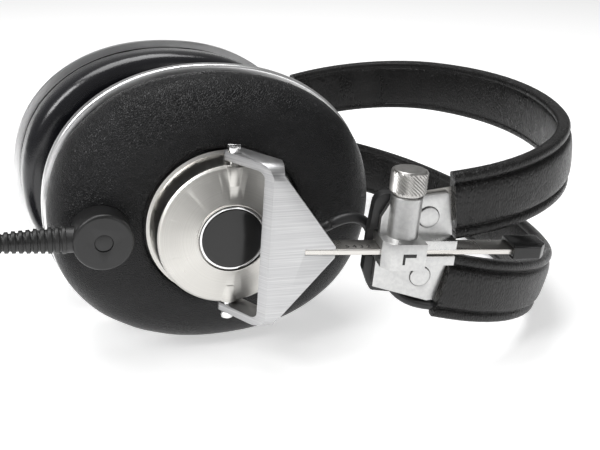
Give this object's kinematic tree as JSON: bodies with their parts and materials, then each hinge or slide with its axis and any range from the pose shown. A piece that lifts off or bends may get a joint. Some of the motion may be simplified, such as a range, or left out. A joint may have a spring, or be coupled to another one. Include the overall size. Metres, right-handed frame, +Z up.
{
  "type": "headphones",
  "caption": "Closed-back over-ear stereo headphones with a split leather headband, sliding steel arms and clamps, leather-covered ear cups and a coiled cord, lying on one side.",
  "frame": {"origin": "centre of the underside of the bounding box of everything but the free cord, on the surface the headphones lie on", "axes": "+X from the ear cups to the crown of the headband, +Y from the left side to the right side, +Z up"},
  "size_m": [0.3175, 0.1726, 0.1004],
  "materials": {
    "cover_leather": "soft black leather, fine grain",
    "pad_vinyl": "glossy black vinyl",
    "strap_leather": "black leather, creased",
    "shell": "moulded black",
    "black_gloss": "polished black",
    "black_matte": "satin black",
    "foam": "dark grey open foam",
    "cone": "paper",
    "chrome": "polished",
    "steel": "flat polished",
    "magnet": "bare",
    "turned_aluminium": "turned, satin",
    "brushed_aluminium": "brushed",
    "cast_aluminium": "satin",
    "rubber": "satin",
    "cord": "satin black sheath"
  },
  "bodies": {
    "headband": {"strap_upper": "strap_leather", "strap_lower": "strap_leather", "strap_core_upper": "steel", "strap_core_lower": "steel", "clamp_casting_left": "cast_aluminium", "backing_plate_left": "black_matte", "band_rivets_left": "cast_aluminium", "cup_lead_left": "cord", "clamp_casting_right": "cast_aluminium", "backing_plate_right": "black_matte", "band_rivets_right": "cast_aluminium", "cup_lead_right": "cord"},
    "arm_left": {"yoke_left": "brushed_aluminium", "pivot_screws_left": "chrome", "slider_arm_left": "steel", "arm_end_cap_left": "black_gloss"},
    "cup_left": {"cup_cover_left": "cover_leather", "cup_shell_left": "shell", "chrome_ring_left": "chrome", "baffle_left": "shell", "driver_basket_left": "steel", "driver_magnet_left": "magnet", "driver_cone_left": "cone", "ear_pad_left": "pad_vinyl", "pad_foam_left": "foam", "hub_housing_left": "turned_aluminium", "hub_cap_left": "black_gloss", "hub_cap_ring_left": "chrome", "cable_puck": "black_matte", "puck_plug": "black_matte", "strain_relief": "rubber", "cord_run": "cord", "cord_coil": "cord", "cord_tail": "cord", "plug_shell": "black_gloss", "plug_shaft": "chrome"},
    "thumb_left": {"thumbscrew_left": "chrome"},
    "arm_right": {"yoke_right": "brushed_aluminium", "pivot_screws_right": "chrome", "slider_arm_right": "steel", "arm_end_cap_right": "black_gloss"},
    "cup_right": {"cup_cover_right": "cover_leather", "cup_shell_right": "shell", "chrome_ring_right": "chrome", "baffle_right": "shell", "driver_basket_right": "steel", "driver_magnet_right": "magnet", "driver_cone_right": "cone", "ear_pad_right": "pad_vinyl", "pad_foam_right": "foam", "hub_housing_right": "turned_aluminium", "hub_cap_right": "black_gloss", "hub_cap_ring_right": "chrome"},
    "thumb_right": {"thumbscrew_right": "chrome"}
  },
  "joints": [
    {"name": "arm_left_slide", "type": "slide", "parent": "headband", "child": "arm_left", "axis": [-0.9815, 0.1788, 0.0686], "range_m": [-0.012, 0.0135], "deforming": ["cup_lead_left"]},
    {"name": "cup_left_swivel", "type": "hinge", "parent": "arm_left", "child": "cup_left", "pos_m": [-0.04119, -0.05234, 0.05001], "axis": [0.0698, 0, 0.9976], "range_deg": [-4, 8]},
    {"name": "thumbscrew_left_turn", "type": "hinge", "parent": "headband", "child": "thumb_left", "pos_m": [0.01175, -0.07281, 0.06635], "axis": [0.0698, 0, 0.9976], "range_deg": [0, 360]},
    {"name": "arm_right_slide", "type": "slide", "parent": "headband", "child": "arm_right", "axis": [-0.9815, -0.1788, 0.0686], "range_m": [-0.0195, 0.006], "deforming": ["cup_lead_right"]},
    {"name": "cup_right_swivel", "type": "hinge", "parent": "arm_right", "child": "cup_right", "pos_m": [-0.04855, 0.05234, 0.05052], "axis": [0.0698, 0, 0.9976], "range_deg": [-8, 4]},
    {"name": "thumbscrew_right_turn", "type": "hinge", "parent": "headband", "child": "thumb_right", "pos_m": [0.01175, 0.07415, 0.06635], "axis": [0.0698, 0, 0.9976], "range_deg": [0, 360]}
  ]
}
